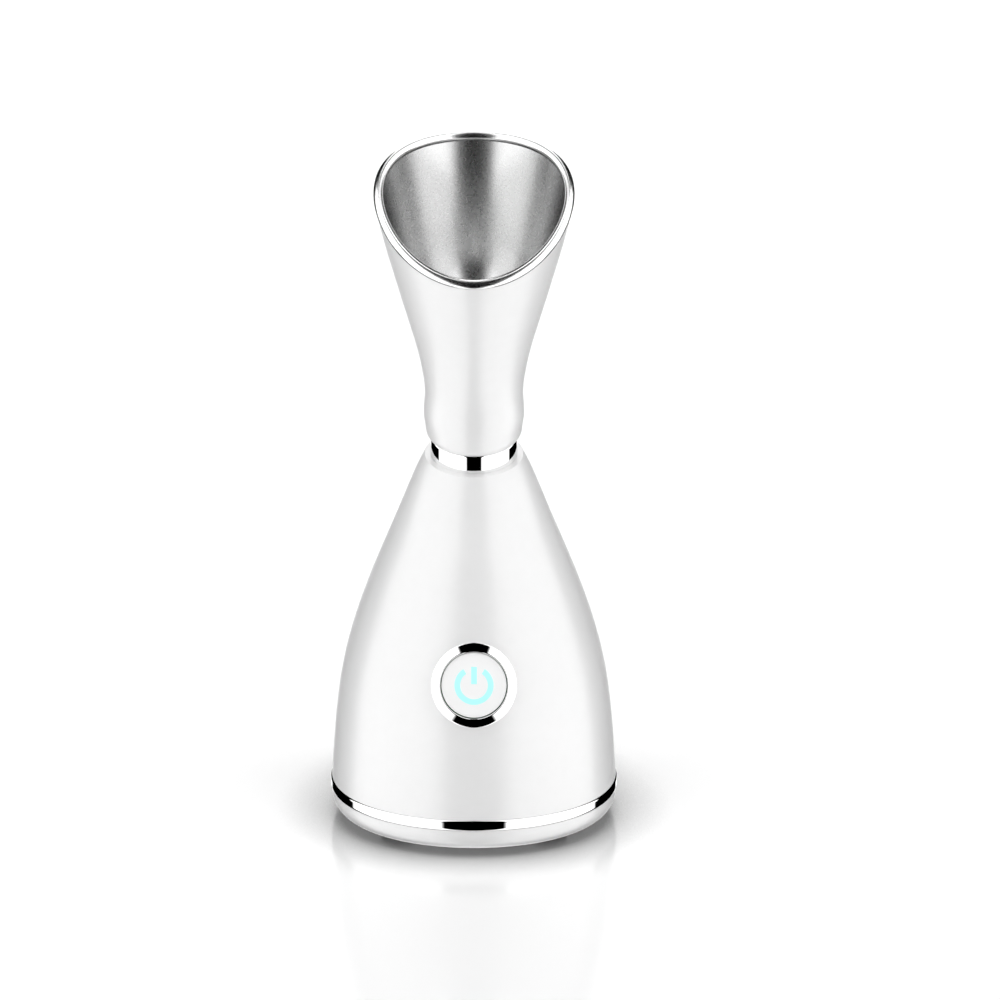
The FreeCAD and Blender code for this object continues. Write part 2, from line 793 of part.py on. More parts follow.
def boiler_cup():
    """Steel cup that boils the water; its flange bolts to the stand."""
    inner = boiler_radius - boiler_wall
    shape = rod(boiler_radius, boiler_bottom, boiler_top, 0, boiler_y)
    shape = shape.fuse(rod(flange_radius, boiler_top - flange_thickness, boiler_top, 0, boiler_y))
    feed = along_y(rod(feed_radius, 0, boiler_wall + 0.5 + feed_reach), boiler_y + inner - 0.5, spigot_height)
    shape = shape.fuse(feed)
    shape = shape.cut(rod(inner, boiler_bottom + boiler_wall, boiler_top + 1, 0, boiler_y))
    bore = rod(feed_radius - 1.0, 0, boiler_wall + 8)
    shape = shape.cut(along_y(bore, boiler_y + inner - 3, spigot_height))
    return with_stud_holes(shape, stud_clear, boiler_top - 4, boiler_top + 1)


def boiler_gasket():
    shape = tube(flange_radius, boiler_radius - boiler_wall,
                 boiler_top, boiler_top + gasket_thickness, 0, boiler_y)
    return with_stud_holes(shape, stud_clear, boiler_top - 1, boiler_top + 3)


def boiler_lid():
    low = boiler_top + gasket_thickness
    shape = rod(flange_radius, low, lid_top, 0, boiler_y)
    shape = shape.fuse(rod(riser_radius, low, lid_top + nipple_height, 0, boiler_y))
    shape = shape.cut(rod(riser_bore, low - 1, lid_top + nipple_height + 1, 0, boiler_y))
    return with_stud_holes(shape, stud_clear, low - 1, lid_top + 1)


def lid_screws():
    low = boiler_top - flange_thickness - 2.5
    return Part.makeCompound([screw(p.x, p.y, low, lid_top, stud_radius, stud_head, False)
                              for p in stud_places()])


def boiler_stand():
    top = boiler_top - flange_thickness
    shape = tube(flange_radius, boiler_radius + 0.4, top - 3, top, 0, boiler_y)
    for p in on_circle(3, stud_circle, 30):
        shape = shape.fuse(rod(leg_radius, floor_z, top - 1, p.x, p.y + boiler_y))
    shape = shape.cut(tube(flange_radius + 20, flange_radius + 1, floor_z - 1, top + 1, 0, boiler_y))
    return with_stud_holes(shape, stud_thread, top - 4, top + 1).removeSplitter()


def heater_plate():
    low = boiler_bottom - heater_thickness
    shape = rod(heater_radius, low, boiler_bottom, 0, boiler_y)
    for side in (-1, 1):
        shape = shape.fuse(block(side * 9 - 2, side * 9 + 2, boiler_y - 10, boiler_y - 6, low - 3, low))
    return shape


def thermostat():
    low = boiler_bottom - heater_thickness
    shape = rod(thermostat_radius, low - 5, low, 0, boiler_y + 2)
    for side in (-1, 1):
        blade = block(side * 3 - 0.8, side * 3 + 0.8, boiler_y + 1.6, boiler_y + 2.4, low - 9, low - 5)
        shape = shape.fuse(blade)
    return shape


def thermal_fuse():
    low = boiler_bottom - heater_thickness
    start = V(-0.5 * fuse_length, boiler_y + 12, low - fuse_radius)
    return Part.makeCylinder(fuse_radius, fuse_length, start, V(1, 0, 0))


def steam_pipe():
    """Silicone pipe from the boiler's lid to the riser in the neck."""
    reach = (boiler_y - neck_y) / math.sin(tilt)
    corner = V(0, boiler_y, neck_z - reach * math.cos(tilt))
    top_distance = riser_drop - 11.0
    top = V(0, neck_y + top_distance * math.sin(tilt), neck_z - top_distance * math.cos(tilt))
    bottom = V(0, boiler_y, lid_top + 1.0)
    tangent = pipe_bend_radius * math.tan(0.5 * tilt)
    upward = (top - corner).normalize()
    first = corner - V(0, 0, tangent)
    last = corner + upward * tangent
    inward = V(upward) - V(0, 0, 1)
    middle = corner + inward.normalize() * (pipe_bend_radius / math.cos(0.5 * tilt) - pipe_bend_radius)
    path = Part.Wire([Part.makeLine(bottom, first), Part.Arc(first, middle, last).toShape(),
                      Part.makeLine(last, top)])
    rods = []
    for radius in (riser_radius + close_gap, riser_radius + close_gap + pipe_wall):
        profile = Part.Wire(Part.makeCircle(radius, bottom, V(0, 0, 1)))
        rods.append(path.makePipeShell([profile], True, False))
    return rods[1].cut(rods[0])


def feed_tube():
    low = boiler_y + boiler_radius + 0.3
    shape = tube(feed_radius + 1.5, feed_radius + close_gap, 0, socket_y - 2.6 - low)
    return along_y(shape, low, spigot_height)


# ---------------------------------------------------------------- water tank
def tank_dock():
    """Tray and socket that the tank slides onto; a pin in the socket opens the tank's valve."""
    low = tank_bottom - panel_gap - 3.0
    half = tank_half_width + 1.0
    shape = block(-half, half, tank_front - 4.5, 120, low, low + 3.0)
    shape = shape.fuse(block(-half, half, tank_front - 4.5, tank_front - 1.5, low, dock_height))
    places = [(tank_half_width - 6.5, tank_front), (tank_half_width - 9.5, half_depth - 20)]
    for x, y in places + [(-x, y) for x, y in places]:
        shape = shape.fuse(rod(3.0, floor_z, low + 1, x, y))
    shape = shape.common(bell(wall + 0.5).fuse(rod(60, 0, band_top + 1)))
    web = socket_y - 2.4
    shape = shape.fuse(along_y(rod(6.6, 0, tank_front - panel_gap - web), web, spigot_height))
    shape = shape.fuse(along_y(rod(feed_radius, 0, feed_reach + 1), web - feed_reach, spigot_height))
    shape = shape.cut(along_y(rod(spigot_radius + running_gap, 0, 10), socket_y - 0.4, spigot_height))
    shape = shape.cut(along_y(rod(feed_radius - 1.0, 0, 4.4), web - 4, spigot_height))
    shape = shape.fuse(along_y(rod(0.9, 0, socket_y + 1.2 - web), web, spigot_height))
    for p in on_circle(3, 1.75):
        shape = shape.cut(along_y(rod(0.6, 0, 4), web - 1, spigot_height + p.y, p.x))
    return shape.removeSplitter()


def tank_body():
    """Clear tank, open only at its filler and its spigot."""
    outside = rounded_plate(tank_half_width, tank_bottom, tank_top, tank_corner, tank_front, 120)
    inside = rounded_plate(tank_half_width - tank_wall, tank_bottom + tank_wall, tank_top - tank_wall,
                           tank_corner - tank_wall, tank_front + tank_wall, 119)
    skin = wall + 2 * close_gap
    shape = outside.common(bell(skin)).cut(inside.common(bell(skin + tank_wall)))
    shape = shape.fuse(along_y(rod(spigot_radius, 0, spigot_length + 0.5), socket_y, spigot_height))
    depth = 2 * spigot_seal_section + 2 * close_gap
    groove = along_y(tube(6, spigot_radius - depth, 1.9, 2.9), socket_y, spigot_height)
    shape = shape.cut(groove)
    shape = shape.cut(along_y(rod(spigot_bore, -1, spigot_length + tank_wall + 0.5), socket_y, spigot_height))
    return shape.cut(rod(filler_radius, tank_top - 4, tank_top + 2, 0, filler_y)).removeSplitter()


def spigot_seal():
    ring = Part.makeTorus(spigot_radius - spigot_seal_section - close_gap, spigot_seal_section, V(0, 0, 2.4))
    return along_y(ring, socket_y, spigot_height)


def cover_skin():
    return outer_bell.cut(inner_bell).common(window_prism(panel_gap))


def level_prism(gap):
    return rounded_plate(level_half_width - gap, level_bottom + gap, level_top - gap,
                         0.95 * level_half_width - gap, 0, 150)


def tank_cover():
    """Back panel that closes the opening; it comes out with the tank."""
    return cover_skin().cut(level_prism(0.0))


def level_window():
    return cover_skin().common(level_prism(close_gap))


def tank_grip():
    """Bright bar that the tank is pulled out by."""
    surface = reach_y(outer_bell, grip_height, 1)
    y = surface + grip_stand
    root = reach_y(outer_bell, grip_height, 1, grip_half_length) - 2.0
    places = [(-grip_half_length, root), (-grip_half_length, y),
              (grip_half_length, y), (grip_half_length, root)]
    bar = swept_rod([V(px, py, grip_height) for px, py in places], grip_radius)
    return bar.cut(outer_bell)


def valve_cage():
    """Keeps the valve's spring behind its poppet, inside the tank."""
    shape = tube(cage_radius, cage_radius - cage_wall, 0, cage_depth)
    shape = shape.fuse(tube(cage_radius, 1.2, cage_depth - 1, cage_depth))
    shape = shape.cut(block(-8, 8, -1.5, 1.5, 2.5, cage_depth - 2))
    shape = shape.cut(block(-1.5, 1.5, -8, 8, 2.5, cage_depth - 2))
    return along_y(shape, tank_front + tank_wall, spigot_height)


def valve_poppet():
    """Closes the spigot from inside the tank; the dock's pin pushes it open."""
    stem = rod(poppet_stem, -tank_wall - spigot_length + 1.5, 1)
    shape = rod(poppet_radius, close_gap, poppet_thickness).fuse(stem)
    return along_y(shape, tank_front + tank_wall, spigot_height)


def valve_spring():
    low = poppet_thickness + spring_wire + close_gap
    high = cage_depth - 1 - spring_wire - close_gap
    helix = Part.makeHelix((high - low) / spring_turns, high - low, spring_radius)
    helix.Placement = FreeCAD.Placement(V(0, 0, low), FreeCAD.Rotation())
    profile = Part.Wire(Part.makeCircle(spring_wire, V(spring_radius, 0, low), V(0, 1, 0)))
    spring = Part.Wire(helix.Edges).makePipeShell([profile], True, True)
    return along_y(spring, tank_front + tank_wall, spigot_height)


def tank_cap():
    """Filler plug with a finger bar; a quarter turn locks it."""
    shape = rod(cap_flange, tank_top + 0.8, tank_top + 2.6, 0, filler_y)
    shape = shape.fuse(rod(filler_radius - 0.35, tank_top - 3.4, tank_top + 1, 0, filler_y))
    half = cap_flange - 0.6
    bar = block(-half, half, filler_y - 0.9, filler_y + 0.9, tank_top + 2, tank_top + 4.6)
    return shape.fuse(bar).removeSplitter()


def cap_seal():
    return tube(cap_flange - 0.3, filler_radius + 0.1, tank_top + close_gap, tank_top + 0.75, 0, filler_y)


# ---------------------------------------------------------------- electrics
inlet_y = reach_y(outer_bell, inlet_height, 1) - inlet_depth


def power_inlet():
    """Two-pin mains inlet below the tank, at the back."""
    low = inlet_height - inlet_half_height
    high = inlet_height + inlet_half_height
    shape = rounded_plate(inlet_half_width, low, high, inlet_corner, inlet_y, 150).common(bell(0.4))
    well = rounded_plate(inlet_half_width - inlet_wall, low + inlet_wall, high - inlet_wall,
                         inlet_corner - inlet_wall, inlet_y + 3.5, 150)
    shape = shape.cut(well)
    for side in (-1, 1):
        hole = rod(pin_radius + close_gap, -1, 5)
        shape = shape.cut(along_y(hole, inlet_y, inlet_height, 0.5 * side * pin_spacing))
    return shape


def inlet_pins():
    pins = []
    for side in (-1, 1):
        pin = rod(pin_radius, -2, inlet_depth - 5)
        pin = pin.makeFillet(0.5, [e for e in pin.Edges if e.BoundBox.ZMin > 0])
        pins.append(along_y(pin, inlet_y, inlet_height, 0.5 * side * pin_spacing))
    return Part.makeCompound(pins)


def control_board():
    half = board_half_width
    shape = block(-half, half, board_front, board_front + board_depth, board_bottom, board_top)
    for x, y in board_places():
        shape = shape.cut(rod(1.5, board_bottom - 1, board_top + 1, x, y))
    return shape


def board_components():
    """Relay, capacitor, supply module and three terminal blocks, soldered to the board."""
    back = board_front + board_depth
    parts = [
        block(-17, -5, board_front + 1.5, board_front + 9.5, board_top, board_top + 9),
        block(-3, 9, board_front + 2, board_front + 9, board_top, board_top + 7),
        rod(3.2, board_top, board_top + 10, 14, board_front + 7),
        block(4, 15, back - 5, back - 0.5, board_top, board_top + 7),
        block(-15, -4, back - 5, back - 0.5, board_top, board_top + 7),
        block(17.5, 21.5, board_front + 6.5, board_front + 9.5, board_top, board_top + 4),
    ]
    return Part.makeCompound(parts)


def board_screws():
    low = board_bottom - 6
    return Part.makeCompound([screw(x, y, low, board_top, 1.2, 2.2, False) for x, y in board_places()])


def inlet_leads():
    """Two mains leads from the inlet to the board, along the bottom cover."""
    back = board_front + board_depth - 0.5
    leads = []
    for side, x in ((-1, 7), (1, 12)):
        start = 0.5 * side * pin_spacing
        route = [V(start, inlet_y - 2, inlet_height), V(start, inlet_y - 9, inlet_height),
                 V(x - 3, inlet_y - 24, 15.5), V(x, inlet_y - 42, 9.5), V(x + 0.5, inlet_y - 58, 9.8),
                 V(x, back + 9, 19), V(x, back, 19)]
        leads.append(swept_rod(route, wire_radius))
    return Part.makeCompound(leads)


def heater_leads():
    """Two leads from the board to the heater's tabs."""
    back = board_front + board_depth - 0.5
    front = boiler_y - 10
    leads = []
    for x0, x1 in ((-7, -7.6), (-12, -10.4)):
        route = [V(x0, back, 19), V(x0, back + 6, 19), V(x1, front - 6, 28.5), V(x1, front, 28.5)]
        leads.append(swept_rod(route, wire_radius))
    return Part.makeCompound(leads)


def button_point(x, y, z):
    lean = math.radians(button_lean)
    return V(x, front_y + y * math.sin(lean) - z * math.cos(lean),
             button_height + y * math.cos(lean) + z * math.sin(lean))


def button_leads():
    """Two thin leads from the board up to the button's switch board."""
    leads = []
    for x in (18.5, 20.7):
        shift = x - 18.5
        route = [V(x, board_front + 8, board_top + 4), V(x, board_front + 8, board_top + 12),
                 V(x - 1.5, board_front + 10, board_top + 24), button_point(9 + shift, -9, -25 - shift),
                 button_point(3 + shift, -6, -19), button_point(3 + shift, -6, -housing_depth)]
        leads.append(swept_rod(route, 0.7))
    return Part.makeCompound(leads)


NODES = {
    "base_shell": base_shell, "base_cover": base_cover, "trim_band": trim_band,
    "rubber_feet": rubber_feet, "base_screws": base_screws,
    "neck_ring": neck_ring, "neck_sleeve": neck_sleeve, "friction_washer": friction_washer,
    "retaining_clip": retaining_clip, "riser_seal": riser_seal,
    "head_shell": head_shell, "mouth_liner": mouth_liner, "mouth_rim": mouth_rim,
    "steam_nozzle": steam_nozzle, "nozzle_grille": nozzle_grille, "swivel_collar": swivel_collar,
    "button_bezel": button_bezel, "button_cap": button_cap, "power_icon": power_icon,
    "switch_plunger": switch_plunger, "switch_stem": switch_stem, "button_housing": button_housing,
    "button_board": button_board, "tact_switch": tact_switch, "button_leds": button_leds,
    "boiler_cup": boiler_cup, "boiler_gasket": boiler_gasket, "boiler_lid": boiler_lid,
    "lid_screws": lid_screws, "boiler_stand": boiler_stand, "heater_plate": heater_plate,
    "thermostat": thermostat, "thermal_fuse": thermal_fuse, "steam_pipe": steam_pipe,
    "feed_tube": feed_tube, "tank_dock": tank_dock,
    "tank_body": tank_body, "spigot_seal": spigot_seal, "tank_cover": tank_cover,
    "level_window": level_window, "tank_grip": tank_grip, "valve_cage": valve_cage,
    "valve_poppet": valve_poppet, "valve_spring": valve_spring, "tank_cap": tank_cap,
    "cap_seal": cap_seal,
    "power_inlet": power_inlet, "inlet_pins": inlet_pins, "control_board": control_board,
    "board_components": board_components, "board_screws": board_screws,
    "inlet_leads": inlet_leads, "heater_leads": heater_leads, "button_leads": button_leads,
}

print(f"button axis through y {front_y:.3f} z {button_height} leaning {button_lean:.3f} degrees")
print(f"bowl floor {bowl_floor:.2f} and back lip {head_length:.2f} up the head's axis")
print(f"filler axis y {filler_y:.2f}, inlet floor y {inlet_y:.2f}")
print(f"spigot seat y {tank_front + tank_wall:.2f}")
os.makedirs("parts", exist_ok=True)
for node_name, make in NODES.items():
    export(make(), node_name)
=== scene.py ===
# %% [markdown]
# # A table-top facial steamer
# The steamer is a white bell with a bright band round its foot, a leaning neck and a steam head
# whose slanted mouth is lined with satin metal. The CAD model holds every size and every joint,
# so this lesson only makes the surfaces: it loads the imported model, gives each part the finish
# of the real material, and models again, with clean smooth meshes, the parts that the eye rests on.
# Everything is in metres, with +Z up and the front of the steamer towards -Y.

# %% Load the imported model
import json
import math

import bmesh
import bpy
from mathutils import Matrix, Vector


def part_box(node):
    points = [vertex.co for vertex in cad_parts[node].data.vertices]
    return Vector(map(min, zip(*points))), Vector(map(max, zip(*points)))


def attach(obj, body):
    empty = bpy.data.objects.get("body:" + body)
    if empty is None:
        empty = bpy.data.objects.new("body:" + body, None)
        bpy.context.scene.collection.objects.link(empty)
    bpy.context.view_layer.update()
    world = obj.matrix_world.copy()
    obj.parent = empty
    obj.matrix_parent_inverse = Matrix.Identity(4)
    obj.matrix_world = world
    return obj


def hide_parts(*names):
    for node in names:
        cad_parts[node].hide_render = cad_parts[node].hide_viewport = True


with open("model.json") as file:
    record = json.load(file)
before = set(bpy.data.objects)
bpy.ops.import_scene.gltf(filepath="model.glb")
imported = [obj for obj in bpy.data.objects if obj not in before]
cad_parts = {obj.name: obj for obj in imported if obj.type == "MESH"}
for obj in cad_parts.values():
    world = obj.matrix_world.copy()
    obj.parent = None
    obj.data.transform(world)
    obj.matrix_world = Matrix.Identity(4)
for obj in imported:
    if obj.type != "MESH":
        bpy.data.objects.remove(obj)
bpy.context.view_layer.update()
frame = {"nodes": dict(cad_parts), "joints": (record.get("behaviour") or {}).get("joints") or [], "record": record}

scene = bpy.context.scene

# %% [markdown]
# ## The camera
# The camera stands in front of the steamer and looks a little down on it, from far off with a long
# lens, so upright lines stay upright. It aims near the button; the small shift places the steamer
# in the frame without turning the camera.

# %% Camera
camera_data = bpy.data.cameras.new("camera")
camera_data.lens = 150.0
camera_data.sensor_width = 36.0
camera_data.shift_x = 0.026
camera_data.shift_y = -0.022
camera = bpy.data.objects.new("camera", camera_data)
scene.collection.objects.link(camera)
camera.location = (0.0, -1.4629, 0.5142)
aim = Vector((0.0, -0.014, 0.126))
camera.rotation_mode = "QUATERNION"
camera.rotation_quaternion = (aim - camera.location).to_track_quat("-Z", "Y")
scene.camera = camera
scene.view_settings.view_transform = "Standard"
print("camera distance in m", round((aim - camera.location).length, 3))

# %% [markdown]
# ## Floor and light
# Bright metal and gloss plastic show what stands round them, so a product studio surrounds the object
# with large white panels and leaves dark gaps between them. One gap is straight ahead, where the
# camera stands, and one is behind each shoulder; they give the chrome its crisp black patches.
# Here the world shader draws those panels from the direction alone, at every height.
# The floor is a plain pale sheet with a faint glow of its own. Where the steamer hides the sky from
# it, both its colour and its glow fade, a painted contact shadow on which the steamer stands.

# %% A node helper, used by the world and by every material
def wire_up(tree, kind, inputs=(), **settings):
    """Adds a node, sets its properties, and fills its sockets with values or links."""
    node = tree.nodes.new(kind)
    for name, value in settings.items():
        setattr(node, name, value)
    for socket, value in dict(inputs).items():
        if isinstance(value, bpy.types.NodeSocket):
            tree.links.new(value, node.inputs[socket])
        else:
            node.inputs[socket].default_value = value
    return node


# %% The studio's panels
FRONT_GAP = math.radians(24.0)
BACK_GAP = (math.radians(115.0), math.radians(165.0))
SOFT_EDGE = math.radians(2.0)
PANEL_LIGHT = 1.5
GAP_LIGHT = 0.0


def studio_world():
    world = bpy.data.worlds.new("studio")
    world.use_nodes = True
    tree = world.node_tree
    tree.nodes.clear()
    place = wire_up(tree, "ShaderNodeTexCoord")
    parts = wire_up(tree, "ShaderNodeSeparateXYZ", {0: place.outputs["Generated"]})
    ahead = wire_up(tree, "ShaderNodeMath", {0: parts.outputs["Y"], 1: -1.0}, operation="MULTIPLY")
    turn = wire_up(tree, "ShaderNodeMath", {
        0: parts.outputs["X"], 1: ahead.outputs[0]}, operation="ARCTAN2")
    side = wire_up(tree, "ShaderNodeMath", {0: turn.outputs[0]}, operation="ABSOLUTE")
    light = None
    for edge, before, after in (
        (FRONT_GAP, GAP_LIGHT, PANEL_LIGHT),
        (BACK_GAP[0], 0.0, GAP_LIGHT - PANEL_LIGHT),
        (BACK_GAP[1], 0.0, PANEL_LIGHT - GAP_LIGHT),
    ):
        step = wire_up(tree, "ShaderNodeMapRange", {
            "Value": side.outputs[0], "From Min": edge - SOFT_EDGE, "From Max": edge + SOFT_EDGE,
            "To Min": before, "To Max": after}, interpolation_type="SMOOTHSTEP")
        if light is None:
            light = step.outputs["Result"]
        else:
            light = wire_up(tree, "ShaderNodeMath", {0: light, 1: step.outputs["Result"]}).outputs[0]
    glow = wire_up(tree, "ShaderNodeBackground", {"Color": (1, 1, 1, 1), "Strength": light})
    wire_up(tree, "ShaderNodeOutputWorld", {"Surface": glow.outputs[0]})
    return world


scene.world = studio_world()
print("panels from", round(math.degrees(FRONT_GAP)), "to", round(math.degrees(BACK_GAP[0])), "degrees")

# %% The floor
FLOOR_SIZE = 6.0
SHADOW_REACH = 0.035
SHADOW_TONE = 0.2
FLOOR_TONE = 0.97
FLOOR_GLOW = 0.12
FLOOR_ROUGHNESS = 0.16


def pale_floor():
    mesh = bpy.data.meshes.new("floor")
    shape = bmesh.new()
    bmesh.ops.create_grid(shape, x_segments=2, y_segments=2, size=FLOOR_SIZE)
    shape.to_mesh(mesh)
    shape.free()
    floor = bpy.data.objects.new("floor", mesh)
    scene.collection.objects.link(floor)
    material = bpy.data.materials.new("pale_floor")
    material.use_nodes = True
    tree = material.node_tree
    shader = tree.nodes["Principled BSDF"]
    shader.inputs["Roughness"].default_value = FLOOR_ROUGHNESS
    shader.inputs["Emission Color"].default_value = (1, 1, 1, 1)
    # Painted contact shadow: ambient occlusion darkens the floor's colour and its glow near the steamer.
    open_sky = wire_up(tree, "ShaderNodeAmbientOcclusion", {"Distance": SHADOW_REACH}, samples=8)
    painted_shadow_tone = wire_up(tree, "ShaderNodeMapRange", {
        "Value": open_sky.outputs["AO"], "From Min": 0.4, "From Max": 0.9,
        "To Min": SHADOW_TONE, "To Max": FLOOR_TONE})
    glow = wire_up(tree, "ShaderNodeMath", {
        0: painted_shadow_tone.outputs["Result"], 1: FLOOR_GLOW}, operation="MULTIPLY")
    tree.links.new(painted_shadow_tone.outputs["Result"], shader.inputs["Base Color"])
    tree.links.new(glow.outputs[0], shader.inputs["Emission Strength"])
    mesh.materials.append(material)
    floor.visible_glossy = False
    return floor


pale_floor()

# %% [markdown]
# ## Finishes
# A moulded or plated part is never one flat colour. Each finish starts from the Principled shader and
# gets three quiet things from noise on the piece's own Object coordinates: a slight change of colour,
# a change of roughness, and a bump at the scale of the real texture.

# %% The common finish
def finish(name, colours, roughness, grain, bump, bump_height=0.00002, stretch=(1, 1, 1), **sockets):
    """A Principled material whose colour, roughness and bump follow noise in Object coordinates.

    colours and roughness are pairs of values; grain is the noise's scale in waves per metre."""
    material = bpy.data.materials.new(name)
    material.use_nodes = True
    tree = material.node_tree
    shader = tree.nodes["Principled BSDF"]
    place = wire_up(tree, "ShaderNodeTexCoord")
    mapping = wire_up(tree, "ShaderNodeMapping", {"Vector": place.outputs["Object"], "Scale": stretch})
    broad = wire_up(tree, "ShaderNodeTexNoise", {
        "Vector": mapping.outputs[0], "Scale": 0.08 * grain, "Detail": 3.0, "Roughness": 0.5})
    fine = wire_up(tree, "ShaderNodeTexNoise", {
        "Vector": mapping.outputs[0], "Scale": grain, "Detail": 3.0, "Roughness": 0.6})
    ramp = wire_up(tree, "ShaderNodeValToRGB", {"Fac": broad.outputs["Fac"]})
    ramp.color_ramp.elements[0].position = 0.3
    ramp.color_ramp.elements[1].position = 0.7
    ramp.color_ramp.elements[0].color = (*colours[0], 1)
    ramp.color_ramp.elements[1].color = (*colours[1], 1)
    tree.links.new(ramp.outputs["Color"], shader.inputs["Base Color"])
    sheen = wire_up(tree, "ShaderNodeMapRange", {
        "Value": fine.outputs["Fac"], "To Min": roughness[0], "To Max": roughness[1]})
    tree.links.new(sheen.outputs["Result"], shader.inputs["Roughness"])
    relief = wire_up(tree, "ShaderNodeBump", {
        "Height": fine.outputs["Fac"], "Strength": bump, "Distance": bump_height})
    tree.links.new(relief.outputs["Normal"], shader.inputs["Normal"])
    for socket, value in sockets.items():
        shader.inputs[socket.replace("_", " ")].default_value = value
    return material


def grey(value, blue=0.0):
    return (value, value, value + blue)


# %% Plastics, metals, rubbers and lamps
FINISHES = {
    # The white shell's faint emission is a painted glow, fill light painted into the plastic, which is no lamp.
    "white_shell": finish("white_shell", (grey(0.86), grey(0.88)), (0.34, 0.42), 2600, 0.08,
                          Coat_Weight=1.0, Coat_Roughness=0.29, Coat_IOR=1.9,
                          Sheen_Weight=0.4, Sheen_Roughness=0.5,
                          Emission_Color=(1, 1, 1, 1), Emission_Strength=0.06),
    # The button cap's emission is a painted glow as well; the cap is no lamp.
    "white_button": finish("white_button", (grey(0.93), grey(0.95)), (0.30, 0.36), 2600, 0.04,
                           Coat_Weight=0.4, Coat_Roughness=0.1,
                           Emission_Color=(1, 1, 1, 1), Emission_Strength=0.12),
    "bright_trim": finish("bright_trim", (grey(0.92), grey(0.95)), (0.02, 0.04), 300, 0.01,
                          Metallic=1.0),
    "satin_steel": finish("satin_steel", (grey(0.75), grey(0.79)), (0.26, 0.29), 900, 0.01,
                          Metallic=1.0, Specular_Tint=(0.05, 0.05, 0.05, 1)),
    "satin_rim": finish("satin_rim", (grey(0.90), grey(0.93)), (0.18, 0.22), 700, 0.01, Metallic=1.0),
    "zinc_screws": finish("zinc_screws", (grey(0.62, 0.02), grey(0.72, 0.02)), (0.28, 0.40), 1500, 0.1,
                          Metallic=1.0),
    "zinc_frame": finish("zinc_frame", (grey(0.55, 0.02), grey(0.66, 0.02)), (0.30, 0.45), 700, 0.1,
                         Metallic=1.0),
    "grey_rubber": finish("grey_rubber", (grey(0.16), grey(0.19)), (0.65, 0.8), 1800, 0.25),
    "seal_rubber": finish("seal_rubber", (grey(0.02), grey(0.03)), (0.55, 0.7), 1800, 0.2),
    "silicone": finish("silicone", (grey(0.74), grey(0.80)), (0.35, 0.5), 700, 0.1,
                       Subsurface_Weight=0.3, Transmission_Weight=0.25),
    "pale_nylon": finish("pale_nylon", (grey(0.66), grey(0.72)), (0.4, 0.52), 1600, 0.12),
    "grey_cap": finish("grey_cap", ((0.34, 0.39, 0.44), (0.38, 0.43, 0.48)), (0.38, 0.48), 1800, 0.15),
    "black_plastic": finish("black_plastic", (grey(0.016), grey(0.024)), (0.35, 0.5), 2000, 0.2),
    "circuit_board": finish("circuit_board", ((0.01, 0.09, 0.035), (0.03, 0.2, 0.08)), (0.3, 0.4), 900, 0.1),
    "led_lens": finish("led_lens", ((0.5, 0.9, 0.93), (0.6, 0.95, 0.98)), (0.1, 0.16), 900, 0.03,
                       Transmission_Weight=0.6,
                       Emission_Color=(0.5, 1.0, 0.97, 1), Emission_Strength=1.0),
    "cast_heater": finish("cast_heater", (grey(0.5), grey(0.6)), (0.45, 0.6), 900, 0.4, Metallic=1.0),
    "brass_parts": finish("brass_parts", ((0.72, 0.52, 0.22), (0.82, 0.62, 0.3)), (0.2, 0.3), 900, 0.05,
                          Metallic=1.0),
    "clear_tank": finish("clear_tank", ((0.86, 0.95, 0.98), (0.9, 0.98, 1.0)), (0.05, 0.09), 500, 0.03,
                         Transmission_Weight=1.0, IOR=1.49),
    "clear_window": finish("clear_window", ((0.7, 0.86, 0.92), (0.76, 0.9, 0.95)), (0.04, 0.08), 500, 0.02,
                           Transmission_Weight=1.0, IOR=1.49),
    "lead_cover": finish("lead_cover", (grey(0.5), grey(0.6)), (0.45, 0.55), 1200, 0.1),
    "icon_light": finish("icon_light", ((0.42, 0.90, 0.88), (0.48, 0.94, 0.92)), (0.3, 0.36), 900, 0.02,
                         Emission_Color=(0.45, 1.0, 0.95, 1), Emission_Strength=0.25),
}
print(len(FINISHES), "finishes")

# %% Give every CAD part its finish
OWN_FINISH = {"mouth_rim": "satin_rim"}
for part in frame["record"]["subparts"]:
    mesh = frame["nodes"][part["node"]].data
    mesh.materials.clear()
    mesh.materials.append(FINISHES[OWN_FINISH.get(part["node"], part["material_slot"])])
print(len(frame["nodes"]), "CAD parts finished")

# %% [markdown]
# ## Places that the pieces are built on
# The pieces below are made about their own axis and then placed. The head turns on the neck's axis,
# and the cap slides on the button's axis, so both places are read from the model's joints. A flat
# round part that sits square on an axis gives the point where that axis starts.

# %% Axes of the neck and of the button
MM = 0.001
joints = {joint["name"]: joint for joint in frame["joints"]}


def centre_of(node):
    low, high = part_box(node)
    return (low + high) / 2


def frame_on(origin, axis):
    """A frame whose Z runs along the axis and whose X stays level."""
    up = Vector(axis).normalized()
    across = Vector((1, 0, 0))
    turned = Matrix((across, up.cross(across), up)).transposed().to_4x4()
    return Matrix.Translation(origin) @ turned


neck_frame = frame_on(Vector(joints["head_swivel"]["pos_m"]), joints["head_swivel"]["axis"])
button_out = -Vector(joints["power_button"]["axis"])
BOARD_DEPTH = 11.3 * MM
button_frame = frame_on(centre_of("button_board") + button_out * BOARD_DEPTH, button_out)
print("button faces", [round(v, 3) for v in button_out])

# %% [markdown]
# ## How a turned part is made
# Caps, rings and feet are round, so each starts as one side of its section: a few points joined by
# edges. A full spin of that outline about the axis makes the skin, the sharp corners get a small
# bevel, and the skin is placed. A real part never has a knife edge, and the bevel is what catches
# the light.

# %% Spin, bevel and finish
def supported(points, margin):
    """Adds a point near each end of every long side, so that smooth shading stays near the corners."""
    full = []
    for one, other in zip(points, points[1:] + points[:1]):
        share = margin / math.dist(one, other)
        full.append(one)
        if share < 0.4:
            for place in (share, 1 - share):
                full.append(tuple(a + place * (b - a) for a, b in zip(one, other)))
    return full


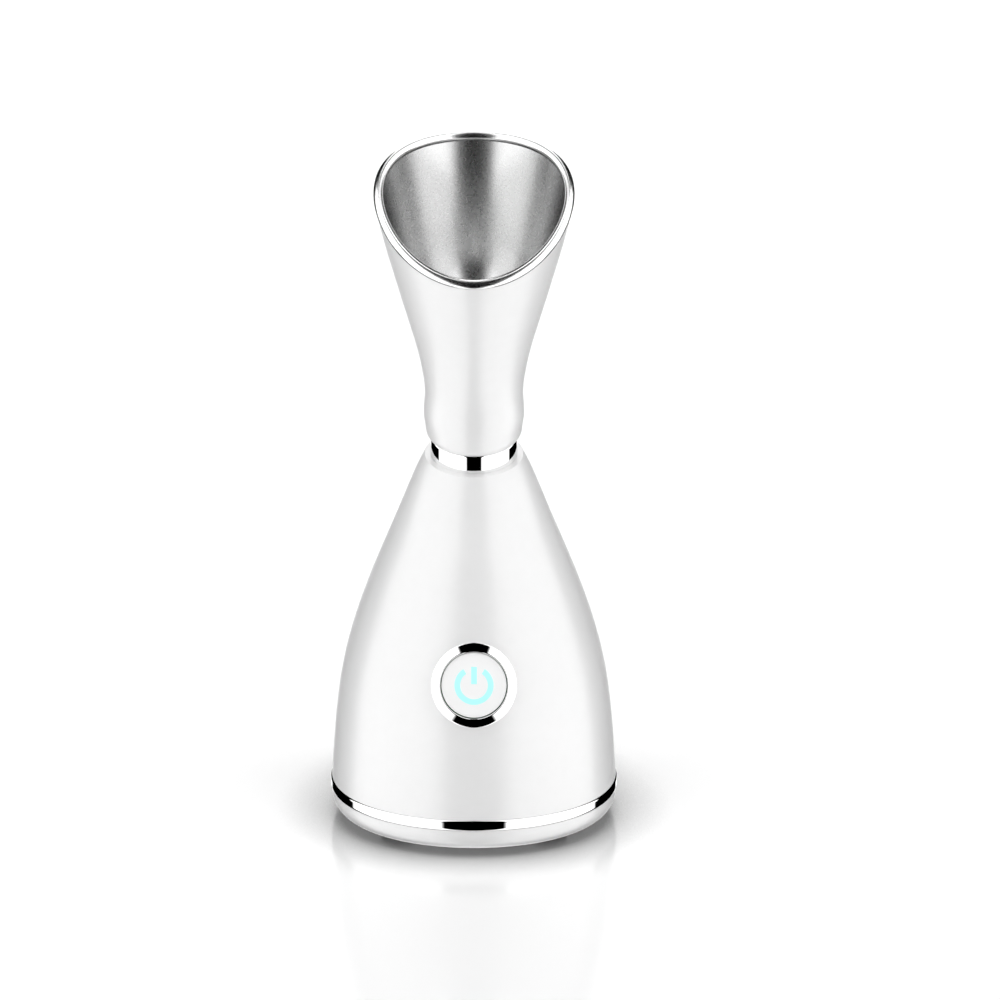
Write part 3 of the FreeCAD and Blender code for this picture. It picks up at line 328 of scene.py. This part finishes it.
def outline(shape, points, closed=True):
    """Joins (radius, height) points, in millimetres, with edges in the XZ plane."""
    dots = [shape.verts.new((r * MM, 0, h * MM)) for r, h in points]
    pairs = list(zip(dots, dots[1:])) + ([(dots[-1], dots[0])] if closed else [])
    return [shape.edges.new(pair) for pair in pairs]


def spin(shape, edges, steps, angle=2 * math.pi):
    verts = list({v for e in edges for v in e.verts})
    bmesh.ops.spin(shape, geom=verts + edges, cent=(0, 0, 0), axis=(0, 0, 1), dvec=(0, 0, 0),
                   angle=angle, steps=steps, use_merge=angle > 6.28, use_duplicate=False)
    bmesh.ops.remove_doubles(shape, verts=shape.verts, dist=0.001 * MM)
    bmesh.ops.recalc_face_normals(shape, faces=shape.faces)


def soften(shape, width, segments=3, sharper_than=30.0):
    """Bevels every edge where two faces meet at more than an angle."""
    limit = math.radians(sharper_than)
    sharp = [e for e in shape.edges if e.is_manifold and e.calc_face_angle(0) > limit]
    bmesh.ops.bevel(shape, geom=sharp, offset=width * MM, offset_type="OFFSET", segments=segments,
                    profile=0.5, affect="EDGES", clamp_overlap=True, material=-1)


def piece(name, shape, slot, body, *nodes, smooth_below=40.0):
    """Turns a bmesh into a finished object that rides on a body and stands for CAD nodes."""
    mesh = bpy.data.meshes.new(name)
    shape.to_mesh(mesh)
    shape.free()
    mesh.polygons.foreach_set("use_smooth", [True] * len(mesh.polygons))
    mesh.set_sharp_from_angle(angle=math.radians(smooth_below))
    made = bpy.data.objects.new(name, mesh)
    scene.collection.objects.link(made)
    mesh.materials.append(FINISHES[slot])
    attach(made, body)
    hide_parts(*nodes)
    print(name, len(mesh.polygons), "faces")
    return made


# %% [markdown]
# ## Button
# A plated ring frames the button. Its face is a shallow cone, so only the top and the bottom of the
# ring mirror the dark gap in front of the steamer. The cap inside is slightly crowned, as a lens is,
# and the power symbol is a light guide let into it, a broken ring and a bar.

# %% The bezel
CAP_RADIUS = 11.5
BEZEL_BORE = CAP_RADIUS + 0.4
BEZEL_RADIUS = 15.2
BEZEL_FOOT = 0.25
BEZEL_NECK = 13.2
BEZEL_BACK = -2.6
BEZEL_END = -5.0
BEZEL_SLOPE = math.radians(21.5)
bezel_crest = BEZEL_FOOT + (BEZEL_RADIUS - BEZEL_BORE) * math.tan(BEZEL_SLOPE)
shape = bmesh.new()
bezel_corners = [(BEZEL_BORE, BEZEL_END), (BEZEL_BORE, bezel_crest), (BEZEL_RADIUS, BEZEL_FOOT),
                 (BEZEL_RADIUS, BEZEL_BACK), (BEZEL_NECK, BEZEL_BACK), (BEZEL_NECK, BEZEL_END)]
spin(shape, outline(shape, supported(bezel_corners, 0.5)), 160)
soften(shape, 0.35)
bmesh.ops.transform(shape, matrix=button_frame, verts=shape.verts)
piece("bezel", shape, "bright_trim", "base", "button_bezel")

# %% The cap
CAP_EDGE = 0.7
CAP_CROWN = 1.3
CAP_INSIDE = -1.5
CAP_SKIRT = -6.0
CAP_BORE = CAP_RADIUS - 1.4
CROWN_STEPS = 12
crown_points = [(CAP_RADIUS * i / CROWN_STEPS, CAP_CROWN - (CAP_CROWN - CAP_EDGE) * (i / CROWN_STEPS) ** 2)
                for i in range(CROWN_STEPS + 1)]
skirt_points = [(CAP_RADIUS, CAP_SKIRT), (CAP_BORE, CAP_SKIRT), (CAP_BORE, CAP_INSIDE), (0, CAP_INSIDE)]
shape = bmesh.new()
spin(shape, outline(shape, crown_points + skirt_points, closed=False), 144)
soften(shape, 0.35, 4)
bmesh.ops.transform(shape, matrix=button_frame, verts=shape.verts)
piece("cap", shape, "white_button", "button", "button_cap")

# %% The power symbol
ICON_RADIUS = 5.9
ICON_STROKE = 2.1
ICON_OPENING = math.radians(33.0)
ICON_DEPTH = 0.6
ICON_TOP = 0.02
BAR_LENGTH = 6.2
BAR_MIDDLE = 3.5


def crown_height(x, y):
    return (CAP_CROWN - (CAP_CROWN - CAP_EDGE) * (x * x + y * y) / (CAP_RADIUS * MM) ** 2) * MM


shape = bmesh.new()
half = 0.5 * ICON_STROKE
section = outline(shape, [(ICON_RADIUS - half, 0), (ICON_RADIUS + half, 0),
                          (ICON_RADIUS + half, ICON_DEPTH), (ICON_RADIUS - half, ICON_DEPTH)])
spin(shape, section, 72, angle=2 * math.pi - 2 * ICON_OPENING)
bmesh.ops.holes_fill(shape, edges=[e for e in shape.edges if e.is_boundary], sides=4)
bmesh.ops.rotate(shape, verts=shape.verts, cent=(0, 0, 0),
                 matrix=Matrix.Rotation(math.radians(90.0) + ICON_OPENING, 3, "Z"))
bar = bmesh.ops.create_cube(shape, size=1.0)["verts"]
bmesh.ops.scale(shape, verts=bar, vec=(ICON_STROKE * MM, BAR_LENGTH * MM, ICON_DEPTH * MM))
bmesh.ops.translate(shape, verts=bar, vec=(0, BAR_MIDDLE * MM, 0.5 * ICON_DEPTH * MM))
bar_edges = {e for v in bar for e in v.link_edges}
bmesh.ops.subdivide_edges(shape, edges=list(bar_edges), cuts=6, use_grid_fill=True)
bmesh.ops.recalc_face_normals(shape, faces=shape.faces)
soften(shape, 0.12, 2)
for v in shape.verts:
    v.co.z = crown_height(v.co.x, v.co.y) + (ICON_TOP - ICON_DEPTH) * MM + v.co.z
bmesh.ops.transform(shape, matrix=button_frame, verts=shape.verts)
piece("power_symbol", shape, "icon_light", "button", "power_icon")

# %% [markdown]
# ## Bright rings
# The ring under the head and the band round the foot are plated mouldings. The ring is turned. The
# band follows the egg-shaped foot, so it starts as circles of points that are moved onto the egg,
# one circle for each corner of its section, and bridged into a skin.

# %% The neck ring
RING_RADIUS = 15.5
RING_BORE = 13.05
RING_TOP = -0.4
RING_LOW = -11.95
shape = bmesh.new()
ring_corners = [(RING_BORE, RING_LOW), (RING_RADIUS, RING_LOW),
                (RING_RADIUS, RING_TOP), (RING_BORE, RING_TOP)]
spin(shape, outline(shape, supported(ring_corners, 0.6)), 160)
soften(shape, 0.5, 4)
bmesh.ops.transform(shape, matrix=neck_frame, verts=shape.verts)
piece("neck_band", shape, "bright_trim", "base", "neck_ring")

# %% The egg-shaped foot
EGG_SHARE = 0.18
foot_low, foot_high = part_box("trim_band")
foot_half_width = foot_high.x
foot_depth = foot_high.y


def egg_point(turn, inset):
    """A point of the foot's outline, moved inwards, in metres; turn 0 is the front."""
    half_width = foot_half_width - inset
    depth = foot_depth - inset
    share = EGG_SHARE
    cosine = (math.sqrt(1 + 8 * share * share) - 1) / (4 * share)
    widest = math.sqrt(1 - cosine * cosine) * (1 + share * cosine)
    across = half_width * math.sin(turn) * (1 + share * math.cos(turn)) / widest
    return across, -depth * math.cos(turn)


def egg_ring(shape, inset, height, count=288):
    """A closed ring of edges on the egg, from a plain circle whose points are moved."""
    ring = bmesh.ops.create_circle(shape, cap_ends=False, segments=count, radius=1.0)["verts"]
    for v in ring:
        turn = math.atan2(v.co.x, -v.co.y)
        v.co.x, v.co.y = egg_point(turn, inset)
        v.co.z = height
    return list({e for v in ring for e in v.link_edges})


def bridge(shape, rings, closed):
    for one, other in zip(rings, rings[1:] + (rings[:1] if closed else [])):
        bmesh.ops.bridge_loops(shape, edges=one + other)
    bmesh.ops.recalc_face_normals(shape, faces=shape.faces)


# %% The band round the foot
BAND_THICKNESS = 3.25 * MM
BAND_ROUND = 0.9 * MM
WALL_MARGIN = 0.1 * MM
shape = bmesh.new()
section = []
for quarter, height in ((-1, foot_low.z + BAND_ROUND), (1, foot_high.z - BAND_ROUND)):
    for step in range(5):
        lean = math.radians(90 - 22.5 * step if quarter < 0 else 22.5 * step)
        inset = BAND_ROUND * (1 - math.cos(lean))
        section.append((inset, height + quarter * BAND_ROUND * math.sin(lean)))
    if quarter < 0:
        section += [(0.0, height + WALL_MARGIN), (0.0, foot_high.z - BAND_ROUND - WALL_MARGIN)]
section += [(BAND_THICKNESS, foot_high.z), (BAND_THICKNESS, foot_low.z)]
bridge(shape, [egg_ring(shape, inset, height) for inset, height in section], closed=True)
piece("foot_band", shape, "bright_trim", "base", "trim_band")

# %% [markdown]
# ## Feet
# Four soft rubber discs sit in shallow seats under the bottom cover. Each is a low turned disc with a
# rounded lower edge, and all four are cast alike, so one outline is spun four times.

# %% The four feet
FOOT_RADIUS = 6.0
FOOT_HEIGHT = 2.0
FOOT_SEAT = 0.8
FOOT_TOP = FOOT_HEIGHT + FOOT_SEAT
FOOT_PLACES = [(-27.5, -38.0), (27.5, -38.0), (-16.5, 48.5), (16.5, 48.5)]
foot_points = [(0, 0), (FOOT_RADIUS, 0), (FOOT_RADIUS, FOOT_TOP), (0, FOOT_TOP)]
shape = bmesh.new()
for x, y in FOOT_PLACES:
    before = set(shape.verts)
    spin(shape, outline(shape, foot_points, closed=False), 64)
    foot_verts = [v for v in shape.verts if v not in before]
    bmesh.ops.translate(shape, verts=foot_verts, vec=(x * MM, y * MM, 0))
soften(shape, 0.5, 4)
piece("feet", shape, "grey_rubber", "base", "rubber_feet")
